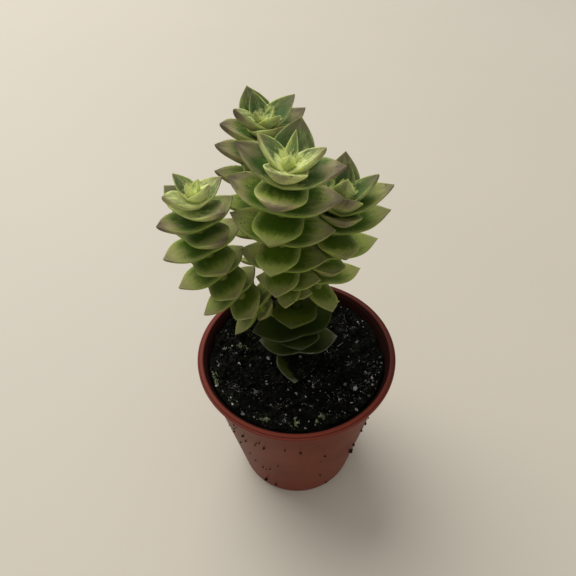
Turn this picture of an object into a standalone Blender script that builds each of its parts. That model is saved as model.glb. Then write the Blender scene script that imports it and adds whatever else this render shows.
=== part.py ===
"""A potted string of buttons: five leafy stems of a variegated Crassula in a 5.5 cm nursery pot.

Metres, +Z up, with the origin at the centre of the pot's underside and the plant's front towards -Y.
Every leafy stem is one solid, with its leaves fused to it.
"""

import math

import bmesh
import bpy
from mathutils import Vector
from mathutils.bvhtree import BVHTree

GAP = 0.0003  # kept between pieces that touch on the real plant

# The pot
POT_HEIGHT = 0.0514
RIM_RADIUS = 0.0275
RIM_WIDTH = 0.0014  # flat band on top of the rim
LIP_HEIGHT = 0.0010  # the rim's turned-down outer lip
BODY_TOP_RADIUS = 0.0261
BASE_RADIUS = 0.0188
WALL = 0.0008
FOOT_WIDTH = 0.0030
DISC_RADIUS = 0.0060  # flat disc in the middle of the underside
RECESS_DEPTH = 0.0008
HOLE_RADIUS = 0.0025
HOLE_COUNT = 4
ROUNDING = 0.0003  # of the pot's edges
POT_SIDES = 40

# The soil
SOIL_DEPTH = 0.0059  # how far its top lies below the rim in the middle
SOIL_SLOPE = 0.045  # it falls towards the back wall
SOIL_HEAP = 0.0034  # and is heaped up this much against the wall all round
HEAP_FROM = 0.5  # from this share of its radius outwards
SOIL_ROUGH = 0.00035  # height of its low waves
WAVE_X, WAVE_Y, WAVE_ACROSS = 0.0153, 0.0180, 0.0083  # and their lengths
SOIL_RINGS = 9
BED_SPACE = 1.2 * GAP  # round the old leaf that lies in it

# The form of a leaf, as shares of its own length or width
NECK = 0.92  # width where a pair's two leaves are joined round the stem
WIDEST = 0.36
# The powers of its outline beyond the widest place, and how far its margins rise above the middle, over
# the half width: first for the youngest leaf, then for a full-grown one
TIP_POWERS = ((1.5, 1.0), (2.3, 1.2))
CUP = (0.40, 0.13)
YOUNG_NARROW = 0.38  # and the youngest is narrower by this share
EDGE_THICK = 0.0010
BODY_THICK = 0.0026
TIP_THIN = 0.5  # how much thickness it loses towards its tip
TIP_CLOSE = 8  # the power that closes it only at the very tip
CURL = math.radians(12)  # its middle line turns up this much over its length
ROWS = (0.22, 0.50, 0.76, 0.93)
RING = ((-1, 0.5), (-0.84, 0), (0, 0), (0.84, 0), (1, 0.5), (0.55, 1), (-0.55, 1))

# The four variegated branches. Each spine bends from its foot over a middle point to its growing tip.
# Leaf pairs are counted from the tip down, each a quarter turn from the last, and grow longer, flatter
# and further apart on the way. The lowest are small again and droop. Swing names the pairs that stand out
# of the regular turn, and by how many degrees, and stretch the pairs whose two leaves differ in length.
STEMS = {
    "branch_front": {
        "spine": ((0.0003, 0.0038, 0.0676), (-0.0055, 0.0035, 0.0818), (-0.0012, 0.0, 0.1093)),
        "pairs": 14, "azimuth": -101.5, "turn": 89.7, "gap": 0.0059, "first_gap": -0.52,
        "gap_grows": 2.8, "base_gap": 0.38, "length": 0.0138, "first_length": 0.38,
        "length_grows": 1.5, "base_length": 0.38, "half_width": 0.0058, "rest_pitch": 7,
        "first_pitch": 58, "pitch_falls": 2.5, "droop": 12, "stretch": {0: (0.95, 1.4)},
    },
    "branch_left": {
        "spine": ((-0.0026, 0.0037, 0.0606), (-0.0234, 0.0042, 0.0702), (-0.0215, 0.0030, 0.1013)),
        "pairs": 14, "azimuth": 37.3, "turn": 89.0, "gap": 0.0045, "first_gap": -0.01,
        "gap_grows": 2.85, "base_gap": 0.82, "length": 0.0111, "first_length": 0.35,
        "length_grows": 2.3, "base_length": 0.84, "half_width": 0.0054, "rest_pitch": 7,
        "first_pitch": 66, "pitch_falls": 1.7, "droop": 19, "swing": {1: 26, 3: 22, 5: 10},
    },
    "branch_right": {
        "spine": ((0.0029, 0.0046, 0.0604), (0.0059, 0.0096, 0.0623), (0.0108, 0.0080, 0.0962)),
        "pairs": 13, "azimuth": -11, "turn": 92.7, "gap": 0.0066, "first_gap": -0.87, "gap_grows": 4.0,
        "base_gap": 0.70, "length": 0.0150, "first_length": 0.35, "length_grows": 2.15,
        "base_length": 0.60, "half_width": 0.0057, "rest_pitch": 7.7, "first_pitch": 81,
        "pitch_falls": 3.3, "droop": 15,
    },
    "branch_back": {
        "spine": ((0.0002, 0.0065, 0.0612), (-0.0103, 0.0235, 0.0748), (-0.0064, 0.0195, 0.1090)),
        "pairs": 17, "azimuth": 37, "turn": 87.0, "gap": 0.0042, "first_gap": -0.32, "gap_grows": 3.6,
        "base_gap": 0.87, "length": 0.0132, "first_length": 0.34, "length_grows": 2.1,
        "base_length": 0.68, "half_width": 0.0056, "rest_pitch": 12, "first_pitch": 49,
        "pitch_falls": 3.7, "droop": 10,
    },
}
BRANCH_RADIUS = 0.0014
FOOT_TAPER = 0.72  # a branch is thinner at its foot
TOP_TAPER = 0.3  # and every stem loses this share of its width by its tip
TIP_SPACE = 0.0006  # from the growing tip down to the youngest pair
LEAST_GAP = 0.08  # between the crowded youngest pairs, over the gap between full-grown ones

# A leaf that would touch another stem is smaller: it loses this share of its size until it is clear
LEAF_SPACE = 1.5 * GAP
SHORTER = 0.04
LEAST_REACH = 0.3
LEAST_WIDTH = 0.5

# The old stem that they grow from. Its dark leaf pairs, from the top: height on the stem, azimuth and
# pitch in degrees, lengths of the front (or right) leaf and of the other, and half width.
MOTHER_SPINE = ((0.0005, 0.0030, 0.0365), (0.0006, 0.0032, 0.0520), (0.0002, 0.0037, 0.0678))
MOTHER_RADIUS = 0.0022
MOTHER_THICK = 0.85  # its leaves' thickness, over that of a full-grown young leaf
MOTHER_PAIRS = (
    (0.0646, -100, 10, 0.0098, 0.0080, 0.0058),
    (0.0580, 18, 4, 0.0108, 0.0130, 0.0057),
    (0.0550, -84, 8, 0.0088, 0.0100, 0.0057),
    (0.0512, 2, -2, 0.0115, 0.0110, 0.0057),
    (0.0476, -96, -5, 0.0122, 0.0060, 0.0057),
)


def clear_scene():
    for obj in list(bpy.data.objects):
        bpy.data.objects.remove(obj)


def material(name, colour, roughness):
    made = bpy.data.materials.new(name)
    made.use_nodes = True
    shader = made.node_tree.nodes["Principled BSDF"]
    shader.inputs["Base Color"].default_value = (*colour, 1)
    shader.inputs["Roughness"].default_value = roughness
    shader.inputs["Metallic"].default_value = 0
    return made


def mesh_object(name, points, faces, finish=None, collection=None):
    mesh = bpy.data.meshes.new(name)
    mesh.from_pydata([tuple(p) for p in points], [], faces)
    mesh.update()
    obj = bpy.data.objects.new(name, mesh)
    (collection or bpy.context.scene.collection).objects.link(obj)
    if finish:
        mesh.materials.append(finish)
    return obj


def apply_modifiers(obj):
    """Replaces the object's mesh by the shape that its modifiers give."""
    graph = bpy.context.evaluated_depsgraph_get()
    finished = bpy.data.meshes.new_from_object(obj.evaluated_get(graph))
    obj.modifiers.clear()
    obj.data = finished


def add_boolean(obj, operation, other=None, collection=None):
    cut = obj.modifiers.new(operation.title(), "BOOLEAN")
    cut.operation = operation
    cut.solver = "EXACT"
    if collection:
        cut.operand_type = "COLLECTION"
        cut.collection = collection
    else:
        cut.object = other


def keep_outer_skin(mesh):
    """Deletes what a union leaves apart from the outer skin: the walls of a sealed hollow, or a scrap."""
    shape = bmesh.new()
    shape.from_mesh(mesh)
    unseen = set(shape.verts)
    bodies = []
    while unseen:
        body, edge = set(), {unseen.pop()}
        while edge:
            body |= edge
            edge = {e.other_vert(v) for v in edge for e in v.link_edges} - body
        unseen -= body
        bodies.append(body)
    bodies.sort(key=len)
    for body in bodies[:-1]:
        bmesh.ops.delete(shape, geom=list(body), context="VERTS")
    shape.to_mesh(mesh)
    shape.free()


def turned(name, profile, sides, finish):
    """A solid of revolution about Z. The profile runs from the axis out, round and back to the axis."""
    shape = bmesh.new()
    points = [shape.verts.new((r, 0, z)) for r, z in profile]
    edges = [shape.edges.new(pair) for pair in zip(points, points[1:])]
    bmesh.ops.spin(shape, geom=points + edges, cent=(0, 0, 0), axis=(0, 0, 1),
                   angle=math.tau, steps=sides, use_merge=True)
    bmesh.ops.remove_doubles(shape, verts=shape.verts, dist=0.00001)
    bmesh.ops.recalc_face_normals(shape, faces=shape.faces)
    mesh = bpy.data.meshes.new(name)
    shape.to_mesh(mesh)
    shape.free()
    mesh.materials.append(finish)
    mesh.shade_smooth()
    mesh.set_sharp_from_angle(angle=math.radians(35))
    obj = bpy.data.objects.new(name, mesh)
    bpy.context.scene.collection.objects.link(obj)
    return obj


def cylinder(name, radius, low, high, x=0.0, y=0.0, sides=16):
    shape = bmesh.new()
    bmesh.ops.create_cone(shape, cap_ends=True, segments=sides, radius1=radius, radius2=radius,
                          depth=high - low)
    bmesh.ops.translate(shape, verts=shape.verts, vec=(x, y, (low + high) / 2))
    mesh = bpy.data.meshes.new(name)
    shape.to_mesh(mesh)
    shape.free()
    obj = bpy.data.objects.new(name, mesh)
    obj.hide_render = True
    obj.display_type = "WIRE"
    bpy.context.scene.collection.objects.link(obj)
    return obj


def outer_radius(z):
    """The pot's outside below its lip, a straight taper."""
    return BASE_RADIUS + (BODY_TOP_RADIUS - BASE_RADIUS) * z / POT_HEIGHT


def make_pot(finish):
    floor = RECESS_DEPTH + WALL
    foot_inner = BASE_RADIUS - FOOT_WIDTH
    rim_inner = RIM_RADIUS - RIM_WIDTH
    under_lip = POT_HEIGHT - LIP_HEIGHT
    profile = (
        (0, 0), (DISC_RADIUS, 0), (DISC_RADIUS + ROUNDING, RECESS_DEPTH), (foot_inner, RECESS_DEPTH),
        (foot_inner + ROUNDING, 0), (BASE_RADIUS - 2 * ROUNDING, 0),
        (outer_radius(2 * ROUNDING), 2 * ROUNDING),
        (outer_radius(under_lip - ROUNDING), under_lip - ROUNDING), (RIM_RADIUS - ROUNDING, under_lip),
        (RIM_RADIUS, under_lip + ROUNDING), (RIM_RADIUS, POT_HEIGHT - ROUNDING),
        (RIM_RADIUS - ROUNDING, POT_HEIGHT), (rim_inner + ROUNDING, POT_HEIGHT),
        (rim_inner, POT_HEIGHT - ROUNDING), (outer_radius(under_lip) - WALL, under_lip),
        (outer_radius(floor) - WALL, floor), (0, floor),
    )
    pot = turned("pot", profile, POT_SIDES, finish)
    between = (DISC_RADIUS + foot_inner) / 2
    cutters = []
    for index in range(HOLE_COUNT):
        angle = math.tau * (index + 0.5) / HOLE_COUNT
        cutter = cylinder(f"drain_cutter_{index}", HOLE_RADIUS, -WALL, floor + WALL,
                          between * math.cos(angle), between * math.sin(angle))
        add_boolean(pot, "DIFFERENCE", cutter)
        cutters.append(cutter)
    apply_modifiers(pot)
    for cutter in cutters:
        bpy.data.objects.remove(cutter)
    return pot


def soil_brim():
    """The radius of the soil's top, just inside the pot's wall where the heap is lowest."""
    return outer_radius(POT_HEIGHT - SOIL_DEPTH + SOIL_HEAP / 2) - (WALL + GAP)


def soil_height(x, y):
    """The soil's uneven top: gentle waves, falling towards the back and heaped up at the wall."""
    waves = math.sin(math.tau * x / WAVE_X + 1.3) * math.cos(math.tau * y / WAVE_Y - 0.6)
    waves += 0.6 * math.sin(math.tau * (x + y) / WAVE_ACROSS + 2.0)
    outward = max(0.0, math.hypot(x, y) / soil_brim() - HEAP_FROM) / (1 - HEAP_FROM)
    heap = SOIL_HEAP * outward * outward * (3 - 2 * outward)
    return POT_HEIGHT - SOIL_DEPTH - SOIL_SLOPE * y + heap + SOIL_ROUGH * waves


def make_soil(finish):
    low = RECESS_DEPTH + WALL + GAP
    brim = soil_brim()
    points = [(0, 0, soil_height(0, 0))]
    for ring in range(1, SOIL_RINGS + 1):
        share = ring / SOIL_RINGS
        for side in range(POT_SIDES):
            angle = math.tau * side / POT_SIDES
            x, y = brim * share * math.cos(angle), brim * share * math.sin(angle)
            points.append((x, y, soil_height(x, y)))
    foot = outer_radius(low) - (WALL + GAP)
    for side in range(POT_SIDES):
        angle = math.tau * side / POT_SIDES
        points.append((foot * math.cos(angle), foot * math.sin(angle), low))
    points.append((0, 0, low))
    faces = []
    for side in range(POT_SIDES):
        after = (side + 1) % POT_SIDES
        faces.append((0, 1 + side, 1 + after))
        for ring in range(SOIL_RINGS):
            inner, outer = 1 + ring * POT_SIDES, 1 + (ring + 1) * POT_SIDES
            faces.append((inner + side, outer + side, outer + after))
            faces.append((inner + side, outer + after, inner + after))
        last = 1 + SOIL_RINGS * POT_SIDES
        faces.append((last + side, len(points) - 1, last + after))
    soil = mesh_object("soil", points, faces, finish)
    x, y, root = MOTHER_SPINE[0]
    hole = cylinder("stem_hole_cutter", MOTHER_RADIUS + BED_SPACE, root - GAP, POT_HEIGHT, x, y)
    add_boolean(soil, "DIFFERENCE", hole)
    bed = mesh_object("leaf_bed_cutter", *pair_shape(mother_pairs()[-1], margin=BED_SPACE))
    add_boolean(soil, "DIFFERENCE", bed)
    apply_modifiers(soil)
    bpy.data.objects.remove(hole)
    bpy.data.objects.remove(bed)
    soil.data.shade_smooth()
    return soil


def spine_points(spine, count=160):
    """Points along a stem's spine, their directions and their distances from its foot."""
    foot, middle, tip = (Vector(p) for p in spine)
    points, ways, run = [], [], [0.0]
    for index in range(count + 1):
        t = index / count
        points.append((1 - t) ** 2 * foot + 2 * t * (1 - t) * middle + t * t * tip)
        ways.append(((1 - t) * (middle - foot) + t * (tip - middle)).normalized())
        if index:
            run.append(run[-1] + (points[-1] - points[-2]).length)
    return points, ways, run


def along(spine, distance):
    """The spine's point and direction at this distance from its foot."""
    points, ways, run = spine_points(spine)
    index = 1
    while run[index] < distance and index < len(run) - 1:
        index += 1
    share = (distance - run[index - 1]) / (run[index] - run[index - 1])
    place = points[index - 1].lerp(points[index], share)
    return place, ways[index - 1].lerp(ways[index], share).normalized()


def sideways(axis, azimuth):
    """The direction at this compass angle, square to the stem."""
    flat = Vector((math.cos(azimuth), math.sin(azimuth), 0))
    return (flat - axis * flat.dot(axis)).normalized()


def aged(ends, grown):
    return ends[0] + (ends[1] - ends[0]) * grown


def leaf_pair(at, axis, azimuth, pitch, reach, half_width, thick, grown=1.0):
    out = sideways(axis, math.radians(azimuth))
    return {"at": at, "axis": axis, "out": out, "across": axis.cross(out), "reach": list(reach),
            "pitch": math.radians(pitch), "half_width": half_width, "thick": thick,
            "powers": [aged(ends, grown) for ends in zip(*TIP_POWERS)], "cup": aged(CUP, grown)}


def branch_pairs(stem):
    """Where each pair of a branch sits and how its leaves grow, from the youngest down."""
    oldest = stem["pairs"] - 1
    spine_length = spine_points(stem["spine"])[2][-1]
    below_tip = TIP_SPACE
    pairs = []
    for index in range(stem["pairs"]):
        low = (index / oldest) ** 3
        young = math.exp(-index / stem["length_grows"])
        size = (1 - (1 - stem["first_length"]) * young) * (1 - (1 - stem["base_length"]) * low)
        fall = math.exp(-index / stem["pitch_falls"])
        pitch = stem["rest_pitch"] + (stem["first_pitch"] - stem["rest_pitch"]) * fall
        at, axis = along(stem["spine"], spine_length - below_tip)
        azimuth = stem["azimuth"] + stem["turn"] * index + stem.get("swing", {}).get(index, 0)
        half_width = stem["half_width"] * size * (1 - YOUNG_NARROW * young)
        reach = [stem["length"] * size * share for share in stem.get("stretch", {}).get(index, (1, 1))]
        pairs.append(leaf_pair(
            at, axis, azimuth, pitch - stem["droop"] * low, reach, half_width,
            min(1.0, 0.35 + 0.65 * size), 1 - young))
        closer = max(LEAST_GAP, 1 - (1 - stem["first_gap"]) * math.exp(-index / stem["gap_grows"]))
        crowded = 1 - (1 - stem["base_gap"]) * (index / (oldest - 1)) ** 3
        below_tip += stem["gap"] * closer * crowded
    return pairs


def mother_pairs():
    """The old stem's pairs, each at its own height."""
    foot, _, top = MOTHER_SPINE
    rise = spine_points(MOTHER_SPINE)[2][-1] / (top[2] - foot[2])
    pairs = []
    for height, azimuth, pitch, front, back, half_width in MOTHER_PAIRS:
        at, axis = along(MOTHER_SPINE, (height - foot[2]) * rise)
        pairs.append(leaf_pair(at, axis, azimuth, pitch, (front, back), half_width, MOTHER_THICK))
    return pairs


def outline(share, powers):
    """A leaf's half width at a share of its length, over its greatest half width."""
    if share < WIDEST:
        return NECK + (1 - NECK) * math.sin(math.pi / 2 * share / WIDEST)
    beyond = (share - WIDEST) / (1 - WIDEST)
    return (1 - beyond ** powers[0]) ** powers[1]


def midrib(pair, side, share):
    """A point on the leaf's middle line and the direction that its upper face looks in."""
    outward = pair["out"] * (1 if side == 0 else -1)
    rise = pair["pitch"] + CURL * (share - 0.6) if share else 0.0
    point = pair["at"] + pair["reach"][side] * share * (
        outward * math.cos(rise) + pair["axis"] * math.sin(rise))
    lean = rise * min(1.0, share / 0.25)
    return point, pair["axis"] * math.cos(lean) - outward * math.sin(lean)


def leaf_ring(pair, side, share, margin=0.0):
    """The points round a leaf's section: its flat cupped top, thick margins and rounded keel."""
    point, up = midrib(pair, side, share)
    width = pair["half_width"] * outline(share, pair["powers"])
    thin = pair["thick"] * (1 - TIP_THIN * share * share) * (1 - share ** TIP_CLOSE) ** 0.5
    ring = []
    for across, depth in RING:
        body = EDGE_THICK + (BODY_THICK - EDGE_THICK) * (1 - across * across)
        height = pair["cup"] * width * across * across + (0.4 * EDGE_THICK - depth * body) * thin
        spread = width * across + math.copysign(margin, across) * (across != 0)
        height += margin * (1 - 2 * depth)
        ring.append(point + pair["across"] * spread + up * height)
    return ring


def leaf_tip(pair, side, margin=0.0):
    point, _ = midrib(pair, side, 1)
    before, _ = midrib(pair, side, ROWS[-1])
    return point + (point - before).normalized() * margin


def skin(rings):
    """Faces between rings of points that follow each other, numbered in order."""
    size = len(rings[0])
    faces = []
    for row in range(len(rings) - 1):
        for index in range(size):
            after = (index + 1) % size
            low, high = row * size, (row + 1) * size
            faces.append((low + index, high + index, high + after))
            faces.append((low + index, high + after, low + after))
    return faces


def pair_shape(pair, sides=(1, 0), margin=0.0):
    """Points and faces of a joined pair, or of one leaf of it where sides names only that one."""
    rings = []
    if 1 in sides:
        rings += [leaf_ring(pair, 1, share, margin) for share in reversed(ROWS)]
    rings.append(leaf_ring(pair, 0, 0, margin))
    if 0 in sides:
        rings += [leaf_ring(pair, 0, share, margin) for share in ROWS]
    points = [p for ring in rings for p in ring]
    faces = skin(rings)
    size = len(RING)
    for side, base in ((1, 0), (0, len(points) - size)):
        if side not in sides:
            continue
        tip = len(points)
        points.append(leaf_tip(pair, side, margin))
        for index in range(size):
            after = (index + 1) % size
            turn = (base + index, base + after, tip) if side else (base + after, base + index, tip)
            faces.append(turn)
    return points, faces


def rod_shape(spine, radius, sides=6, rings=7):
    """The bare stem, a tapered rod with flat ends."""
    total = spine_points(spine)[2][-1]
    rows = []
    for row in range(rings):
        share = row / (rings - 1)
        place, axis = along(spine, share * (total - TIP_SPACE))
        out = sideways(axis, 0)
        across = axis.cross(out)
        turn = [math.tau * side / sides for side in range(sides)]
        width = radius * min(1, FOOT_TAPER + share) * (1 - TOP_TAPER * share)
        rows.append([place + width * (out * math.cos(a) + across * math.sin(a)) for a in turn])
    points = [p for row in rows for p in row]
    faces = [tuple(reversed(f)) for f in skin(rows)]
    last = len(points) - sides
    faces.append(tuple(reversed(range(sides))))
    faces.append(tuple(last + side for side in range(sides)))
    return points, faces


def tree_of(shapes):
    """One search tree over several shapes, to find what touches them."""
    points, faces = [], []
    for some_points, some_faces in shapes:
        faces += [tuple(len(points) + i for i in face) for face in some_faces]
        points += some_points
    return BVHTree.FromPolygons(points, faces)


def touches(pair, side, grown):
    leaf = tree_of([pair_shape(pair, (side,), LEAF_SPACE)])
    return any(tree.overlap(leaf) for tree in grown)


def keep_clear(pair, grown):
    """Shortens each leaf of the pair until it clears the stems already grown, then narrows the pair."""
    for side in (0, 1):
        full, wide = pair["reach"][side], pair["half_width"]
        while touches(pair, side, grown):
            if pair["reach"][side] > LEAST_REACH * full:
                pair["reach"][side] -= SHORTER * full
            elif pair["half_width"] > LEAST_WIDTH * wide:
                pair["half_width"] -= SHORTER * wide
            else:
                break


def make_stem(name, rod, pairs, finish, grown):
    """One leafy stem, its pairs fused to it by a single union."""
    for pair in pairs:
        keep_clear(pair, grown)
    shapes = [pair_shape(pair) for pair in pairs]
    leaves = bpy.data.collections.new(name + "_leaves")
    bpy.context.scene.collection.children.link(leaves)
    for index, (points, faces) in enumerate(shapes):
        mesh_object(f"{name}_pair_{index}", points, faces, collection=leaves)
    obj = mesh_object(name, *rod, finish)
    add_boolean(obj, "UNION", collection=leaves)
    apply_modifiers(obj)
    for leaf in list(leaves.objects):
        bpy.data.objects.remove(leaf)
    bpy.data.collections.remove(leaves)
    keep_outer_skin(obj.data)
    obj.data.shade_smooth()
    return tree_of(shapes)


def make_plant(old_leaf, young_leaf):
    """The old stem first, then each branch clear of every rod and of the leaves before it."""
    rods = {"mother_stem": rod_shape(MOTHER_SPINE, MOTHER_RADIUS)}
    rods.update({name: rod_shape(stem["spine"], BRANCH_RADIUS) for name, stem in STEMS.items()})
    grown = {}
    for name, rod in rods.items():
        others = [tree_of([other]) for key, other in rods.items() if key != name]
        mother = name == "mother_stem"
        pairs = mother_pairs() if mother else branch_pairs(STEMS[name])
        finish = old_leaf if mother else young_leaf
        grown[name] = make_stem(name, rod, pairs, finish, others + list(grown.values()))


def main():
    clear_scene()
    make_pot(material("terracotta_plastic", (0.20, 0.045, 0.030), 0.42))
    make_soil(material("peat_soil", (0.010, 0.008, 0.007), 0.95))
    old_leaf = material("old_leaf", (0.020, 0.035, 0.016), 0.50)
    young_leaf = material("variegated_leaf", (0.160, 0.210, 0.080), 0.45)
    make_plant(old_leaf, young_leaf)


main()
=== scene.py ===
import math
import random

import bmesh
import bpy
from mathutils import Matrix, Vector, noise
from mathutils.bvhtree import BVHTree


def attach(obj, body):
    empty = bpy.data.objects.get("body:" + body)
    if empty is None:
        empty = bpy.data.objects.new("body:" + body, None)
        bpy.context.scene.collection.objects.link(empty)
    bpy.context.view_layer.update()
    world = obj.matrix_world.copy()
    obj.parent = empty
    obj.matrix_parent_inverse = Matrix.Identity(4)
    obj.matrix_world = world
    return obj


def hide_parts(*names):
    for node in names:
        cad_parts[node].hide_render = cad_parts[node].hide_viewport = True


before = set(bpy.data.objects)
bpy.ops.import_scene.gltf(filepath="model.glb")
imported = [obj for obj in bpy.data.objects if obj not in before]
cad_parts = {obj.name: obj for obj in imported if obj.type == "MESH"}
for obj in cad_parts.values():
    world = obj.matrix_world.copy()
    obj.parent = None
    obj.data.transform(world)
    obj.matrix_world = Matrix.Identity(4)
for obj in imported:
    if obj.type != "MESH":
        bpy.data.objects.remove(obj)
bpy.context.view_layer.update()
print("frame loaded:", sorted(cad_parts))

potHeight = 0.0514
wall = 0.0008


def linked(name, data):
    # a new object in the scene
    made = bpy.data.objects.new(name, data)
    bpy.context.scene.collection.objects.link(made)
    return made


def meshOf(name, shape):
    mesh = bpy.data.meshes.new(name)
    shape.to_mesh(mesh)
    shape.free()
    return mesh


# camera: looks down at the pot's rim, as in the photograph
photoView = {"lens": 30.0, "down": 44.73, "roll": -1.337, "shift": (-0.00228, 0.01699, 0.13450)}


def placeCamera(view):
    turn = Matrix.Rotation(math.radians(90 - view["down"]), 3, "X") @ Matrix.Rotation(
        math.radians(view["roll"]), 3, "Z")
    data = bpy.data.cameras.new("photoCamera")
    data.lens, data.sensor_width, data.clip_start = view["lens"], 36, 0.01
    camera = linked("photoCamera", data)
    camera.matrix_world = Matrix.Translation(
        Vector((0, 0, potHeight)) + turn @ Vector(view["shift"])) @ turn.to_4x4()
    bpy.context.scene.camera = camera


placeCamera(photoView)
print("camera placed")


# node tree helpers
class Surface:
    # one material and short ways to add nodes to it

    def __init__(self, name):
        self.material = bpy.data.materials.new(name)
        self.material.use_nodes = True
        self.tree = self.material.node_tree
        self.shader = self.tree.nodes["Principled BSDF"]

    def node(self, kind, **settings):
        made = self.tree.nodes.new("ShaderNode" + kind)
        for key, value in settings.items():
            setattr(made, key, value)
        return made

    def feed(self, socket, value):
        if hasattr(value, "links"):
            self.tree.links.new(value, socket)
        elif value is not None:
            socket.default_value = (*value, 1) if isinstance(value, tuple) and len(value) == 3 and len(
                socket.default_value) == 4 else value

    def attribute(self, name):
        return self.node("Attribute", attribute_type="GEOMETRY", attribute_name=name).outputs["Fac"]

    def place(self):
        return self.node("TexCoord").outputs["Object"]

    def noise(self, scale, detail=3.0, rough=0.5, vector=None):
        made = self.node("TexNoise")
        self.feed(made.inputs["Vector"], vector or self.place())
        made.inputs["Scale"].default_value = scale
        made.inputs["Detail"].default_value = detail
        made.inputs["Roughness"].default_value = rough
        return made.outputs["Fac"]

    def cells(self, scale):
        made = self.node("TexVoronoi", feature="F1")
        self.feed(made.inputs["Vector"], self.place())
        made.inputs["Scale"].default_value = scale
        return made.outputs["Distance"]

    def math(self, operation, first, second=None, third=None, clamp=False):
        made = self.node("Math", operation=operation, use_clamp=clamp)
        for socket, value in zip(made.inputs, (first, second, third)):
            self.feed(socket, value)
        return made.outputs[0]

    def times(self, first, second, clamp=False):
        return self.math("MULTIPLY", first, second, clamp=clamp)

    def scaled(self, value, factor, plus):
        # the value times the factor, plus something
        return self.math("MULTIPLY_ADD", value, factor, plus)

    def span(self, value, low, high, toLow=0.0, toHigh=1.0, smooth=True):
        made = self.node("MapRange", interpolation_type="SMOOTHSTEP" if smooth else "LINEAR")
        for key, given in (("Value", value), ("From Min", low), ("From Max", high), ("To Min", toLow),
                           ("To Max", toHigh)):
            self.feed(made.inputs[key], given)
        return made.outputs["Result"]

    def blend(self, share, first, second, kind="MIX"):
        made = self.node("Mix", data_type="RGBA", blend_type=kind)
        self.feed(made.inputs[0], share)
        self.feed(made.inputs[6], first)
        self.feed(made.inputs[7], second)
        return made.outputs[2]

    def grey(self, value):
        made = self.node("CombineColor")
        for socket in made.inputs[:3]:
            self.feed(socket, value)
        return made.outputs[0]

    def ramp(self, value, *stops):
        made = self.node("ValToRGB")
        self.feed(made.inputs[0], value)
        points = made.color_ramp.elements
        while len(points) < len(stops):
            points.new(0.5)
        for point, (where, colour) in zip(points, stops):
            point.position = where
            point.color = (*colour, 1)
        return made.outputs["Color"]

    def bump(self, height, strength, distance, below=None):
        made = self.node("Bump")
        made.inputs["Strength"].default_value = strength
        made.inputs["Distance"].default_value = distance
        self.feed(made.inputs["Height"], height)
        if below is not None:
            self.feed(made.inputs["Normal"], below)
        return made.outputs["Normal"]

    def finish(self, **inputs):
        for key, value in inputs.items():
            self.feed(self.shader.inputs[key.replace("_", " ")], value)
        return self.material


# small mesh helpers
def newPiece(name, shape, material, nodes=(), smooth=True):
    mesh = meshOf(name, shape)
    mesh.materials.append(material)
    for face in mesh.polygons:
        face.use_smooth = smooth
    piece = linked(name, mesh)
    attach(piece, "root")
    if nodes:
        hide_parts(*nodes)
    return piece


def dropIn(shape, template, matrix):
    # adds a copy of the template mesh at this place
    copy = template.copy()
    copy.transform(matrix)
    shape.from_mesh(copy)
    bpy.data.meshes.remove(copy)


def placed(spot, turn=None, size=(1, 1, 1)):
    return Matrix.LocRotScale(Vector(spot), turn, Vector(size))


def tumble(draw):
    return Matrix.Rotation(draw.uniform(0, math.tau), 3, "Z") @ Matrix.Rotation(
        draw.uniform(0, math.tau), 3, "X") @ Matrix.Rotation(draw.uniform(0, math.tau), 3, "Y")


def lumps(name, count, fineness, rough, firstSeed, squash=1.0):
    # rough balls of radius 1, to be copied by dropIn
    made = []
    for seed in range(firstSeed, firstSeed + count):
        shape = bmesh.new()
        bmesh.ops.create_icosphere(shape, subdivisions=fineness, radius=1)
        for vert in shape.verts:
            away = vert.co.normalized()
            push = noise.noise(away * 1.7 + Vector((seed * 3.1, seed, 0)))
            vert.co = away * (1 + rough * push)
            vert.co.z *= squash
        made.append(meshOf(f"{name}{seed}", shape))
    return made


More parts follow.
